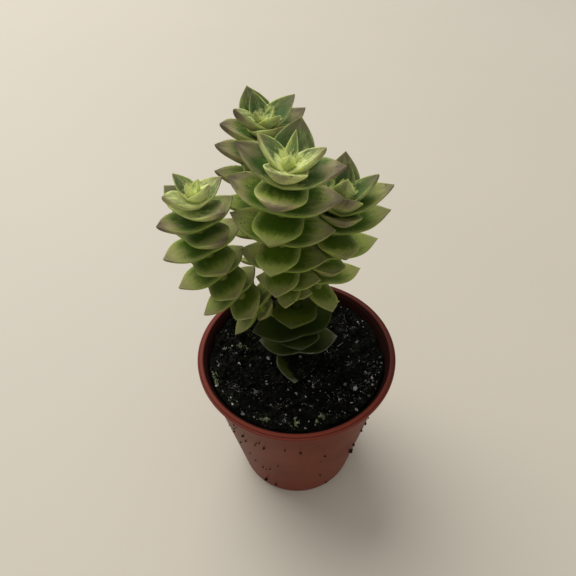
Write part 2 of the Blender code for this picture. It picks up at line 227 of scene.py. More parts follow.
# leaves: each pair is one fleshy boat joined round its stem, as in the solids it replaces
leafForm = {
    "neck": 0.92, "widest": 0.36, "youngPowers": (1.5, 1.0), "oldPowers": (2.3, 1.2),
    "youngCup": 0.40, "oldCup": 0.13, "youngNarrow": 0.38,
    "edgeThick": 0.0010, "bodyThick": 0.0026, "tipThin": 0.5, "tipClose": 8,
    "curl": math.radians(12), "leastGap": 0.08, "space": 0.00045, "shorter": 0.04, "leastReach": 0.3,
    "leastWidth": 0.5,
    "testRows": (0.22, 0.50, 0.76, 0.93),
    "testRing": ((-1, 0.5), (-0.84, 0), (0, 0), (0.84, 0), (1, 0.5), (0.55, 1), (-0.55, 1)),
    "around": 30, "along": 48, "square": 3.6, "sideShare": 0.55, "tipZone": 0.3,
    "waveScale": 260, "wave": 0.00022, "tipBend": 0.0007, "keel": 1.6,
}
branchPlan = {
    "branch_front": {
        "spine": ((0.0003, 0.0038, 0.0676), (-0.0055, 0.0035, 0.0818), (-0.0012, 0.0, 0.1093)),
        "pairs": 14, "azimuth": -101.5, "turn": 89.7, "gap": 0.0059, "firstGap": -0.52,
        "gapGrows": 2.8, "baseGap": 0.38, "length": 0.0138, "firstLength": 0.38,
        "lengthGrows": 1.5, "baseLength": 0.38, "halfWidth": 0.0058, "restPitch": 7,
        "firstPitch": 58, "pitchFalls": 2.5, "droop": 12, "stretch": {0: (0.95, 1.4)},
    },
    "branch_left": {
        "spine": ((-0.0026, 0.0037, 0.0606), (-0.0234, 0.0042, 0.0702), (-0.0215, 0.0030, 0.1013)),
        "pairs": 14, "azimuth": 37.3, "turn": 89.0, "gap": 0.0045, "firstGap": -0.01,
        "gapGrows": 2.85, "baseGap": 0.82, "length": 0.0111, "firstLength": 0.35,
        "lengthGrows": 2.3, "baseLength": 0.84, "halfWidth": 0.0054, "restPitch": 7,
        "firstPitch": 66, "pitchFalls": 1.7, "droop": 19, "swing": {1: 26, 3: 22, 5: 10},
    },
    "branch_right": {
        "spine": ((0.0029, 0.0046, 0.0604), (0.0059, 0.0096, 0.0623), (0.0108, 0.0080, 0.0962)),
        "pairs": 13, "azimuth": -11, "turn": 92.7, "gap": 0.0066, "firstGap": -0.87, "gapGrows": 4.0,
        "baseGap": 0.70, "length": 0.0150, "firstLength": 0.35, "lengthGrows": 2.15,
        "baseLength": 0.60, "halfWidth": 0.0057, "restPitch": 7.7, "firstPitch": 81,
        "pitchFalls": 3.3, "droop": 15,
    },
    "branch_back": {
        "spine": ((0.0002, 0.0065, 0.0612), (-0.0103, 0.0235, 0.0748), (-0.0064, 0.0195, 0.1090)),
        "pairs": 17, "azimuth": 37, "turn": 87.0, "gap": 0.0042, "firstGap": -0.32, "gapGrows": 3.6,
        "baseGap": 0.87, "length": 0.0132, "firstLength": 0.34, "lengthGrows": 2.1,
        "baseLength": 0.68, "halfWidth": 0.0056, "restPitch": 12, "firstPitch": 49,
        "pitchFalls": 3.7, "droop": 10,
    },
}
branchStem = {"radius": 0.0014, "footTaper": 0.72, "topTaper": 0.3, "tipSpace": 0.0006}
motherPlan = {
    "spine": ((0.0005, 0.0030, 0.0365), (0.0006, 0.0032, 0.0520), (0.0002, 0.0037, 0.0678)),
    "radius": 0.0022, "thick": 0.85,
    # height, azimuth, pitch, front and back length, half width
    "pairs": (
        (0.0646, -100, 10, 0.0098, 0.0080, 0.0058),
        (0.0580, 18, 4, 0.0108, 0.0130, 0.0057),
        (0.0550, -84, 8, 0.0088, 0.0100, 0.0057),
        (0.0512, 2, -2, 0.0115, 0.0110, 0.0057),
        (0.0476, -96, -5, 0.0122, 0.0060, 0.0057),
    ),
}


def spinePoints(spine, count=160):
    foot, middle, tip = (Vector(p) for p in spine)
    points, ways, run = [], [], [0.0]
    for index in range(count + 1):
        t = index / count
        points.append((1 - t) ** 2 * foot + 2 * t * (1 - t) * middle + t * t * tip)
        ways.append(((1 - t) * (middle - foot) + t * (tip - middle)).normalized())
        if index:
            run.append(run[-1] + (points[-1] - points[-2]).length)
    return points, ways, run


def alongSpine(spine, distance):
    points, ways, run = spinePoints(spine)
    index = 1
    while run[index] < distance and index < len(run) - 1:
        index += 1
    share = (distance - run[index - 1]) / (run[index] - run[index - 1])
    return points[index - 1].lerp(points[index], share), ways[index - 1].lerp(
        ways[index], share).normalized()


def sideways(axis, azimuth):
    flat = Vector((math.cos(azimuth), math.sin(azimuth), 0))
    return (flat - axis * flat.dot(axis)).normalized()


def between(young, old, grown):
    return young + (old - young) * grown


def leafPair(at, axis, azimuth, pitch, reach, halfWidth, thick, age, grown=1.0):
    out = sideways(axis, math.radians(azimuth))
    powers = [between(*ends, grown) for ends in zip(leafForm["youngPowers"], leafForm["oldPowers"])]
    return {"at": at, "axis": axis, "out": out, "across": axis.cross(out), "reach": list(reach),
            "pitch": math.radians(pitch), "halfWidth": halfWidth, "thick": thick, "age": age,
            "powers": powers, "cup": between(leafForm["youngCup"], leafForm["oldCup"], grown)}


def branchPairs(plan):
    oldest = plan["pairs"] - 1
    spineLength = spinePoints(plan["spine"])[2][-1]
    belowTip = branchStem["tipSpace"]
    pairs = []
    for index in range(plan["pairs"]):
        low = (index / oldest) ** 3
        young = math.exp(-index / plan["lengthGrows"])
        size = (1 - (1 - plan["firstLength"]) * young) * (1 - (1 - plan["baseLength"]) * low)
        fall = math.exp(-index / plan["pitchFalls"])
        pitch = plan["restPitch"] + (plan["firstPitch"] - plan["restPitch"]) * fall
        at, axis = alongSpine(plan["spine"], spineLength - belowTip)
        azimuth = plan["azimuth"] + plan["turn"] * index + plan.get("swing", {}).get(index, 0)
        halfWidth = plan["halfWidth"] * size * (1 - leafForm["youngNarrow"] * young)
        reach = [plan["length"] * size * share for share in plan.get("stretch", {}).get(index, (1, 1))]
        pairs.append(leafPair(
            at, axis, azimuth, pitch - plan["droop"] * low, reach, halfWidth,
            min(1.0, 0.35 + 0.65 * size), index / oldest, 1 - young))
        closer = max(leafForm["leastGap"], 1 - (1 - plan["firstGap"]) * math.exp(-index / plan["gapGrows"]))
        crowded = 1 - (1 - plan["baseGap"]) * (index / (oldest - 1)) ** 3
        belowTip += plan["gap"] * closer * crowded
    return pairs


def motherPairs(plan):
    foot, _, top = plan["spine"]
    rise = spinePoints(plan["spine"])[2][-1] / (top[2] - foot[2])
    pairs = []
    for index, (height, azimuth, pitch, front, back, halfWidth) in enumerate(plan["pairs"]):
        at, axis = alongSpine(plan["spine"], (height - foot[2]) * rise)
        pairs.append(leafPair(at, axis, azimuth, pitch, (front, back), halfWidth, plan["thick"],
                              index / (len(plan["pairs"]) - 1)))
    return pairs


def leafWidth(share, powers):
    form = leafForm
    if share < form["widest"]:
        return form["neck"] + (1 - form["neck"]) * math.sin(math.pi / 2 * share / form["widest"])
    beyond = (share - form["widest"]) / (1 - form["widest"])
    return max(0.0, 1 - beyond ** powers[0]) ** powers[1]


def midrib(pair, side, share):
    outward = pair["out"] * (1 if side == 0 else -1)
    rise = pair["pitch"] + leafForm["curl"] * (share - 0.6) if share else 0.0
    point = pair["at"] + pair["reach"][side] * share * (
        outward * math.cos(rise) + pair["axis"] * math.sin(rise))
    lean = rise * min(1.0, share / 0.25)
    return point, pair["axis"] * math.cos(lean) - outward * math.sin(lean)


def leafPoint(pair, side, share, across, depth, margin=0.0, keel=2.0):
    # across runs from -1 to 1 over the leaf, depth from 0 on its top to 1 underneath
    form = leafForm
    point, up = midrib(pair, side, share)
    width = pair["halfWidth"] * leafWidth(share, pair["powers"])
    thin = pair["thick"] * (1 - form["tipThin"] * share * share) * max(
        0.0, 1 - share ** form["tipClose"]) ** 0.5
    body = form["edgeThick"] + (form["bodyThick"] - form["edgeThick"]) * (1 - abs(across) ** keel)
    height = pair["cup"] * width * across * across + (0.4 * form["edgeThick"] - depth * body) * thin
    spread = width * across + math.copysign(margin, across) * (across != 0)
    return point + pair["across"] * spread + up * (height + margin * (1 - 2 * depth))


def testLeaf(pair, sides, margin):
    # a coarse leaf, only to find what it would touch
    rows = [(1, share) for share in reversed(leafForm["testRows"])] if 1 in sides else []
    rows.append((0, 0.0))
    if 0 in sides:
        rows += [(0, share) for share in leafForm["testRows"]]
    ring = leafForm["testRing"]
    size = len(ring)
    points = [leafPoint(pair, side, share, a, d, margin) for side, share in rows for a, d in ring]
    faces = []
    for row in range(len(rows) - 1):
        for index in range(size):
            after = (index + 1) % size
            low, high = row * size, (row + 1) * size
            faces += [(low + index, high + index, high + after), (low + index, high + after, low + after)]
    for side, base in ((1, 0), (0, len(points) - size)):
        if side in sides:
            tip = len(points)
            end, _ = midrib(pair, side, 1)
            before, _ = midrib(pair, side, leafForm["testRows"][-1])
            points.append(end + (end - before).normalized() * margin)
            for index in range(size):
                after = (index + 1) % size
                faces.append((base + index, base + after, tip) if side else (base + after, base + index, tip))
    return points, faces


def treeOf(shapes):
    points, faces = [], []
    for somePoints, someFaces in shapes:
        faces += [tuple(len(points) + i for i in face) for face in someFaces]
        points += somePoints
    return BVHTree.FromPolygons(points, faces)


def stemShape(spine, radius, sides, rings):
    # a tapered rod along the spine, from a cone whose rings are moved to their places
    total = spinePoints(spine)[2][-1] - branchStem["tipSpace"]
    shape = bmesh.new()
    bmesh.ops.create_cone(shape, cap_ends=True, segments=sides, radius1=1, radius2=1, depth=1)
    rungs = [edge for edge in shape.edges if abs(edge.verts[0].co.z - edge.verts[1].co.z) > 0.5]
    bmesh.ops.subdivide_edges(shape, edges=rungs, cuts=rings - 2, use_grid_fill=False)
    for vert in shape.verts:
        share = vert.co.z + 0.5
        place, axis = alongSpine(spine, share * total)
        out = sideways(axis, 0)
        width = radius * min(1, branchStem["footTaper"] + share) * (1 - branchStem["topTaper"] * share)
        vert.co = place + width * (out * vert.co.x + axis.cross(out) * vert.co.y)
    return shape


def stemTest(spine, radius):
    shape = stemShape(spine, radius, 6, 7)
    return BVHTree.FromBMesh(shape), shape


def touches(pair, side, grown):
    leaf = treeOf([testLeaf(pair, (side,), leafForm["space"])])
    return any(tree.overlap(leaf) for tree in grown)


def keepClear(pair, grown):
    for side in (0, 1):
        full, wide = pair["reach"][side], pair["halfWidth"]
        while touches(pair, side, grown):
            if pair["reach"][side] > leafForm["leastReach"] * full:
                pair["reach"][side] -= leafForm["shorter"] * full
            elif pair["halfWidth"] > leafForm["leastWidth"] * wide:
                pair["halfWidth"] -= leafForm["shorter"] * wide
            else:
                break


def growPlant():
    # the same order and the same tests as in the solids: the old stem first, then each branch
    rods, shapes = {}, []
    for name, plan in [("mother_stem", motherPlan)] + list(branchPlan.items()):
        tree, shape = stemTest(plan["spine"], plan.get("radius", branchStem["radius"]))
        rods[name] = tree
        shapes.append(shape)
    grown, plant = {}, {}
    for name in rods:
        others = [tree for key, tree in rods.items() if key != name] + list(grown.values())
        pairs = motherPairs(motherPlan) if name == "mother_stem" else branchPairs(branchPlan[name])
        for pair in pairs:
            keepClear(pair, others)
        grown[name] = treeOf([testLeaf(pair, (1, 0), 0.0) for pair in pairs])
        plant[name] = pairs
    for shape in shapes:
        shape.free()
    return plant


def sectionRing(count):
    # even steps round a leaf's section: a flat top, thick rounded margins and a keel
    power, sideShare, steps = 2 / leafForm["square"], leafForm["sideShare"], 720
    fine, run = [], [0.0]
    for step in range(steps + 1):
        c, s = math.cos(math.tau * step / steps), math.sin(math.tau * step / steps)
        fine.append((math.copysign(abs(c) ** power, c), math.copysign(abs(s) ** power, s)))
        if step:
            run.append(run[-1] + math.hypot(fine[-1][0] - fine[-2][0],
                                            sideShare * (fine[-1][1] - fine[-2][1])))
    ring, index = [], 0
    for step in range(count):
        while run[index] < run[-1] * step / count:
            index += 1
        ring.append((fine[index][0], (1 - fine[index][1]) / 2))
    return ring


leafKeys = ("alongLeaf", "acrossLeaf", "leafDepth", "leafAge", "leafSeed", "fromEdge", "leafGreen",
            "leafRosy")
# how green and how rosy single leaves are, from 0 to 1, by their pair and side; the others vary by chance
leafNature = {
    "mother_stem": {
        (0, 0): (0.20, 0.1), (1, 0): (0.60, 0.1), (1, 1): (0.50, 0.4), (2, 0): (0.20, 0.3),
        (3, 0): (0.80, 1.0), (3, 1): (0.60, 0.6), (4, 0): (0.30, 0.8),
    },
    "branch_front": {
        (0, 0): (0.25, 0.1), (0, 1): (0.35, 0.1), (1, 0): (0.20, 0.5), (1, 1): (0.30, 0.3),
        (2, 0): (0.95, 0.4), (2, 1): (0.15, 0.2), (3, 0): (0.85, 0.9), (3, 1): (0.75, 1.0),
        (4, 0): (0.05, 0.9), (5, 0): (0.60, 1.0), (5, 1): (0.55, 1.0), (6, 1): (0.60, 0.1),
        (7, 0): (0.60, 0.4), (7, 1): (0.55, 0.6), (8, 0): (0.50, 0.1), (9, 0): (0.60, 0.4),
    },
    "branch_left": {
        (0, 0): (0.00, 0.0), (0, 1): (0.05, 0.0), (1, 0): (0.55, 0.1), (1, 1): (0.00, 0.2),
        (2, 0): (0.10, 0.3), (2, 1): (0.20, 0.3), (3, 0): (0.30, 0.8), (3, 1): (0.65, 0.3),
        (4, 0): (0.60, 0.3), (4, 1): (0.60, 1.0), (5, 0): (0.20, 0.6), (5, 1): (0.25, 0.9),
        (6, 0): (0.40, 0.6), (6, 1): (0.10, 0.7), (7, 0): (0.15, 0.4), (7, 1): (0.20, 0.6),
    },
    "branch_right": {
        (1, 0): (0.80, 0.3), (1, 1): (0.45, 0.1), (2, 1): (0.70, 0.3), (3, 0): (0.40, 0.7),
        (3, 1): (0.80, 0.5), (4, 0): (0.60, 0.5), (5, 1): (0.35, 0.7), (6, 1): (0.60, 0.4),
    },
    "branch_back": {
        (1, 0): (0.75, 0.1), (1, 1): (0.20, 0.1), (2, 0): (0.40, 0.9), (2, 1): (0.70, 0.2),
        (3, 0): (0.30, 0.3), (3, 1): (0.80, 0.2), (4, 0): (0.75, 0.8), (4, 1): (0.40, 1.0),
        (5, 0): (0.50, 0.5), (6, 0): (0.70, 1.0), (6, 1): (0.80, 0.6),
    },
}


def addLeafPair(shape, pair, ring, draw, natures):
    # a sphere with its poles in the two leaf tips, drawn out into the pair
    form = leafForm
    made = bmesh.ops.create_uvsphere(shape, u_segments=form["around"], v_segments=form["along"], radius=1)
    layers = {key: shape.verts.layers.float[key] for key in leafKeys}
    seeds = (draw.random(), draw.random())
    bend = (draw.uniform(-0.5, 0.5), draw.uniform(-0.5, 0.5))
    for vert in made["verts"]:
        height = max(-1.0, min(1.0, vert.co.z))
        latitude = math.asin(height) / (math.pi / 2)
        signed = 0.55 * latitude + 0.45 * height
        side, share = (0, signed) if signed >= 0 else (1, -signed)
        step = round(math.atan2(vert.co.y, vert.co.x) / math.tau * form["around"]) % form["around"]
        across, depth = ring[step]
        if share > 0.9999:
            across, depth = 0.0, 0.5
        spot = leafPoint(pair, side, share, across, depth, keel=form["keel"])
        _, up = midrib(pair, side, share)
        wave = noise.noise(spot * form["waveScale"] + Vector((seeds[side] * 9, 0, 0)))
        lift = form["wave"] * wave * min(1, 3 * share) + bend[side] * form["tipBend"] * share ** 3
        vert.co = spot + up * lift * pair["thick"]
        width = pair["halfWidth"] * leafWidth(share, pair["powers"])
        inward = min(width * (1 - abs(across)), form["tipZone"] * pair["reach"][side] * (1 - share))
        given = (share, across, depth, pair["age"], seeds[side], inward * 1000, *natures[side])
        for key, value in zip(leafKeys, given):
            vert[layers[key]] = value


def leafyStem(name, spine, radius, pairs, material, seed):
    draw = random.Random(seed)
    shape = stemShape(spine, radius, 14, 26)
    for key in leafKeys:
        layer = shape.verts.layers.float.new(key)
        for vert in shape.verts:
            vert[layer] = {"leafDepth": 0.6, "leafAge": 1.0, "fromEdge": 1.0, "leafGreen": 0.5}.get(key, 0.0)
    ring = sectionRing(leafForm["around"])
    known = leafNature.get(name, {})
    for index, pair in enumerate(pairs):
        natures = [(draw.uniform(0.35, 0.75), draw.uniform(0.1, 0.7)) for _ in range(2)]
        addLeafPair(shape, pair, ring, draw, [known.get((index, side), natures[side]) for side in (0, 1)])
    return newPiece(name + "_leaves", shape, material, [name])


def leafSurface(name, look):
    # colours are ramps over the leaf's age, from the growing tip down
    skin = Surface(name)
    along, signed, depth, age, seed, inward, green, rosy = (skin.attribute(key) for key in leafKeys)
    # coordinates that run with the leaf, about a millimetre to the unit, and drawn out lengthwise
    onLeaf = skin.node("CombineXYZ")
    skin.feed(onLeaf.inputs["X"], skin.times(signed, 5.5))
    skin.feed(onLeaf.inputs["Y"], skin.times(along, 12))
    skin.feed(onLeaf.inputs["Z"], skin.scaled(seed, 90, skin.times(depth, 2)))
    stretched = skin.node("Mapping")
    skin.feed(stretched.inputs["Vector"], onLeaf.outputs[0])
    stretched.inputs["Scale"].default_value = (1.0, 0.25, 1.0)
    streaks = skin.noise(1.1, 3, 0.6, vector=stretched.outputs[0])
    wobble = skin.math("SUBTRACT", skin.noise(0.5, 3, 0.6, vector=onLeaf.outputs[0]), 0.5)
    patches = skin.noise(0.30, 2, 0.5, vector=onLeaf.outputs[0])
    fine = skin.noise(3200, 3, 0.65)
    dots = skin.span(skin.cells(2600), 0.10, 0.50, 1, 0)
    young = skin.span(age, look["youngFrom"], look["youngTo"], 1, 0)
    top = skin.span(depth, 0.18, 0.42, 1, 0)
    flesh = skin.ramp(age, *look["flesh"])
    heart = skin.ramp(age, *look["heart"])
    # the green heart lies to one side: towards the stem in a grown leaf, on the outer half of a young one. In
    # a grown leaf the dark heart by the stem is partly a darker green and partly painted shade from the leaf
    # above
    leaning = skin.scaled(skin.math("SUBTRACT", seed, 0.5), 1.1, signed)
    oneSide = skin.span(skin.scaled(wobble, 0.8, leaning), -0.55, 0.45, 0.50, 1)
    inside = skin.span(skin.scaled(wobble, 0.8, inward), *look["heartEdge"], 0.4, 1)
    greener = skin.scaled(green, -0.5, 0.25)
    fromStem = skin.math("ADD", skin.scaled(wobble, 0.6, along), greener)
    nearStem = skin.span(fromStem, 0.30, 0.95, 1, 0)
    outerHalf = skin.span(skin.scaled(wobble, 0.6, along), 0.20, 0.52)
    grownHeartAndShade = skin.times(inside, nearStem)
    youngShare = skin.times(outerHalf, skin.span(inward, 0.0, 0.5, 0.55, 1))
    youngShare = skin.times(youngShare, skin.times(oneSide, skin.span(green, 0, 1, 0.7, 1.6)))
    share = skin.scaled(skin.math("SUBTRACT", youngShare, grownHeartAndShade), young, grownHeartAndShade)
    share = skin.scaled(skin.math("SUBTRACT", streaks, 0.5), look["streaky"], share)
    share = skin.span(share, 0.0, 0.95)
    share = skin.times(share, skin.span(depth, 0.1, 0.5, 1, skin.span(young, 0, 1, 0.85, 0.45)))
    colour = skin.blend(skin.times(share, look["heartShare"]), flesh, heart)
    # fine darker dots, closest together where the heart is
    speckled = skin.times(dots, skin.span(share, 0.0, 0.7, 0.1, 1))
    colour = skin.blend(skin.times(speckled, look["dotShare"]), colour, look["dot"])
    # a pale zone along the margin, wider at the tip, and rosy tan in patches of it
    zone = skin.span(skin.scaled(wobble, 1.6, inward), -0.3, look["zone"], 1, 0)
    zone = skin.times(zone, skin.span(young, 0, 1, 1, 0.45))
    zone = skin.times(zone, skin.math("MAXIMUM", top, look["sideShare"]))
    zone = skin.times(zone, skin.span(green, 0.2, 1, 1, 0.35))
    zone = skin.times(zone, skin.span(streaks, 0.30, 0.65, 0.45, 1))
    colour = skin.blend(skin.times(zone, look["zoneShare"]), colour, skin.ramp(age, *look["edge"]))
    blush = skin.span(skin.scaled(skin.math("SUBTRACT", patches, 0.5), 1.3, along), 0.35, 0.85)
    near = skin.span(skin.scaled(wobble, 1.2, inward), 0.2, look["zone"] * 1.9, 1, 0)
    blush = skin.times(blush, skin.times(near, rosy))
    blush = skin.times(blush, skin.ramp(age, *look["rosiness"]), clamp=True)
    colour = skin.blend(blush, colour, look["rose"])
    rust = skin.times(skin.span(patches, 0.60, 0.70), skin.span(inward, 0.1, 1.6, 1, 0))
    colour = skin.blend(skin.times(rust, look["rustShare"]), colour, look["rust"])
    # a thin pale line on top of the margin: partly the margin's own pale colour, partly a painted highlight
    # along its rounded edge
    line = skin.span(inward, 0.05, look["lineWide"], 1, 0)
    line = skin.times(line, skin.span(depth, 0.2, 0.45, 1, 0))
    line = skin.times(line, skin.span(streaks, 0.35, 0.65, 0.15, 1))
    line = skin.times(line, skin.span(rosy, 0, 1, 0.3, 1.5), clamp=True)
    colour = skin.blend(skin.times(line, look["lineShare"]), colour, look["line"])
    # dusky tips
    dusk = skin.span(skin.scaled(wobble, 0.35, along), 0.66, 0.96)
    dusk = skin.times(dusk, skin.ramp(age, *look["duskiness"]))
    dusk = skin.times(dusk, skin.span(rosy, 0, 1, 0.7, 1.25), clamp=True)
    colour = skin.blend(dusk, colour, look["dusk"])
    # small scars
    scars = skin.span(skin.cells(800), 0.10, 0.20, 1, 0)
    scars = skin.times(scars, skin.span(skin.noise(300, 2), 0.50, 0.60))
    colour = skin.blend(skin.times(scars, look["scars"]), colour, look["scar"])
    tint = skin.math("ADD", skin.times(seed, 0.16), skin.span(green, 0, 1, 1.05, 0.72, smooth=False))
    colour = skin.blend(1.0, colour, skin.grey(tint), "MULTIPLY")
    relief = skin.bump(fine, 0.3, 0.00006, skin.bump(streaks, 0.2, 0.00015))
    rough = skin.span(skin.noise(420, 3), 0.3, 0.7, look["shine"], look["shine"] + 0.16)
    return skin.finish(
        Base_Color=colour, Roughness=rough, Normal=relief, Specular_IOR_Level=look["gloss"],
        Subsurface_Weight=look["glow"], Subsurface_Radius=(0.75, 1.0, 0.12), Subsurface_Scale=0.0016)


def shades(*pairs):
    # grey stops of a ramp
    return tuple((where, (value,) * 3) for where, value in pairs)


youngLeafLook = {
    "flesh": ((0.0, (0.64, 0.70, 0.27)), (0.14, (0.58, 0.63, 0.25)), (0.30, (0.245, 0.310, 0.055)),
              (0.6, (0.220, 0.275, 0.042)), (1.0, (0.250, 0.285, 0.070))),
    "heart": ((0.0, (0.075, 0.145, 0.034)), (0.07, (0.036, 0.082, 0.022)), (0.28, (0.036, 0.094, 0.010)),
              (0.5, (0.056, 0.115, 0.003)), (1.0, (0.090, 0.135, 0.008))),
    "edge": ((0.0, (0.50, 0.54, 0.25)), (0.3, (0.36, 0.375, 0.165)), (0.6, (0.31, 0.325, 0.130)),
             (1.0, (0.30, 0.315, 0.115))),
    "rose": (0.30, 0.240, 0.140), "dusk": (0.128, 0.104, 0.068), "scar": (0.06, 0.040, 0.014),
    "rust": (0.28, 0.16, 0.04), "line": (0.42, 0.43, 0.24), "dot": (0.030, 0.060, 0.020),
    "rosiness": shades((0.0, 0.1), (0.12, 0.6), (0.3, 0.85), (0.7, 0.5), (1.0, 0.3)),
    "duskiness": shades((0.0, 0.45), (0.12, 0.90), (0.35, 0.80), (0.7, 0.40), (1.0, 0.25)),
    "youngFrom": 0.14, "youngTo": 0.36, "heartEdge": (-0.1, 2.5), "zone": 1.9, "sideShare": 0.12,
    "streaky": 1.3, "heartShare": 0.95, "dotShare": 0.65, "zoneShare": 0.70, "rustShare": 0.35,
    "lineShare": 0.14, "lineWide": 0.4, "scars": 0.8, "shine": 0.50, "gloss": 0.05, "glow": 0.26,
}
oldLeafLook = {
    "flesh": ((0.0, (0.060, 0.078, 0.009)), (0.25, (0.026, 0.042, 0.004)), (0.5, (0.020, 0.034, 0.002)),
              (1.0, (0.026, 0.034, 0.004))),
    "heart": ((0.0, (0.030, 0.046, 0.004)), (0.25, (0.012, 0.021, 0.003)), (0.5, (0.007, 0.014, 0.003)),
              (1.0, (0.008, 0.013, 0.002))),
    "edge": ((0.0, (0.085, 0.098, 0.028)), (0.25, (0.040, 0.054, 0.014)), (1.0, (0.030, 0.040, 0.014))),
    "rose": (0.075, 0.065, 0.036), "dusk": (0.05, 0.045, 0.03), "scar": (0.01, 0.01, 0.006),
    "rust": (0.08, 0.06, 0.03), "line": (0.24, 0.26, 0.20), "dot": (0.010, 0.016, 0.004),
    "rosiness": shades((0.0, 0.3), (1.0, 0.2)), "duskiness": shades((0.0, 0.3), (1.0, 0.3)),
    "youngFrom": -2.0, "youngTo": -1.0, "heartEdge": (0.3, 3.0), "zone": 1.4, "sideShare": 0.4,
    "streaky": 0.6, "heartShare": 0.9, "dotShare": 0.3, "zoneShare": 0.5, "rustShare": 0.2,
    "lineShare": 0.60, "lineWide": 0.6, "scars": 0.4, "shine": 0.50, "gloss": 0.02, "glow": 0.04,
}

plant = growPlant()
youngLeaf = leafSurface("variegatedLeaf", youngLeafLook)
oldLeaf = leafSurface("oldDarkLeaf", oldLeafLook)
leafyStem("mother_stem", motherPlan["spine"], motherPlan["radius"], plant["mother_stem"], oldLeaf,
          3)
for order, (name, plan) in enumerate(branchPlan.items()):
    leafyStem(name, plan["spine"], branchStem["radius"], plant[name], youngLeaf,
              11 + order)
    print("leaves grown:", name)


# pot: a thin moulded cup, turned from its profile
potForm = {
    "rim": 0.0275, "rimWidth": 0.0014, "lip": 0.0010, "bodyTop": 0.0261, "base": 0.0188,
    "foot": 0.0030, "disc": 0.0060, "recess": 0.0008, "hole": 0.0025, "holes": 4, "grooveAt": 0.00045,
    "grooveDeep": 0.0002, "grooveSlope": 0.00008, "slope": 0.0003, "footEdge": 0.0005, "footRise": 0.0006,
    "bevel": 0.00012, "sides": 176,
}
potLook = {
    "dark": (0.112, 0.022, 0.009), "light": (0.140, 0.031, 0.013), "foot": (0.150, 0.026, 0.013),
    "rim": (0.128, 0.023, 0.013), "backRightDark": (0.040, 0.006, 0.003), "groove": (0.050, 0.006, 0.003),
    "dust": (0.22, 0.15, 0.10), "speck": (0.03, 0.018, 0.012), "innerWallShade": (0.010, 0.0022, 0.0012),
    "footShare": 0.55, "backRightDarkShare": 0.75, "grooveShadeShare": 0.7, "dustShare": 0.16, "speckShare": 0.85,
    "innerWallShadeShare": 0.96, "gloss": 0.08, "glow": 0.10,
}


def outerRadius(z):
    return potForm["base"] + (potForm["bodyTop"] - potForm["base"]) * z / potHeight


def makePot(form, material):
    floor = form["recess"] + wall
    footInner = form["base"] - form["foot"]
    rimInner = form["rim"] - form["rimWidth"]
    underLip = potHeight - form["lip"]
    groove = form["rim"] - form["grooveAt"]
    ledge = potHeight - form["grooveDeep"]
    profile = (
        (0, 0), (form["disc"], 0), (form["disc"] + form["slope"], form["recess"]),
        (footInner, form["recess"]), (footInner + form["slope"], 0), (form["base"] - form["footEdge"], 0),
        (form["base"], form["footRise"]), (outerRadius(underLip), underLip), (form["rim"], underLip),
        (form["rim"], ledge), (groove, ledge), (groove - form["grooveSlope"], potHeight),
        (rimInner, potHeight), (outerRadius(underLip) - wall, underLip - 0.0002),
        (outerRadius(floor) - wall, floor), (0, floor),
    )
    shape = bmesh.new()
    verts = [shape.verts.new((r, 0, z)) for r, z in profile]
    edges = [shape.edges.new(pair) for pair in zip(verts, verts[1:])]
    bmesh.ops.spin(shape, geom=verts + edges, cent=(0, 0, 0), axis=(0, 0, 1), angle=math.tau,
                   steps=form["sides"], use_merge=True)
    bmesh.ops.remove_doubles(shape, verts=shape.verts, dist=0.00001)
    bmesh.ops.recalc_face_normals(shape, faces=shape.faces)
    corners = [edge for edge in shape.edges if len(edge.link_faces) == 2
               and edge.calc_face_angle(0) > math.radians(30)
               and abs(edge.verts[0].co.z - edge.verts[1].co.z) < 0.00001]
    bmesh.ops.bevel(shape, geom=corners, offset=form["bevel"], offset_type="OFFSET", affect="EDGES",
                    segments=3, profile=0.5, material=-1, clamp_overlap=True)
    pot = newPiece("nursery_pot", shape, material, ["pot"])
    middle = (form["disc"] + footInner) / 2
    drill = bmesh.new()
    for index in range(form["holes"]):
        angle = math.tau * (index + 0.5) / form["holes"]
        bmesh.ops.create_cone(
            drill, cap_ends=True, segments=32, radius1=form["hole"], radius2=form["hole"], depth=0.006,
            matrix=Matrix.Translation((middle * math.cos(angle), middle * math.sin(angle), 0.001)))
    cutter = linked("drainCutter", meshOf("drainCutter", drill))
    cut = pot.modifiers.new("drainHoles", "BOOLEAN")
    cut.operation, cut.solver, cut.object = "DIFFERENCE", "EXACT", cutter
    bpy.context.view_layer.update()
    graph = bpy.context.evaluated_depsgraph_get()
    pot.data = bpy.data.meshes.new_from_object(pot.evaluated_get(graph))
    pot.modifiers.clear()
    bpy.data.objects.remove(cutter)
    return pot


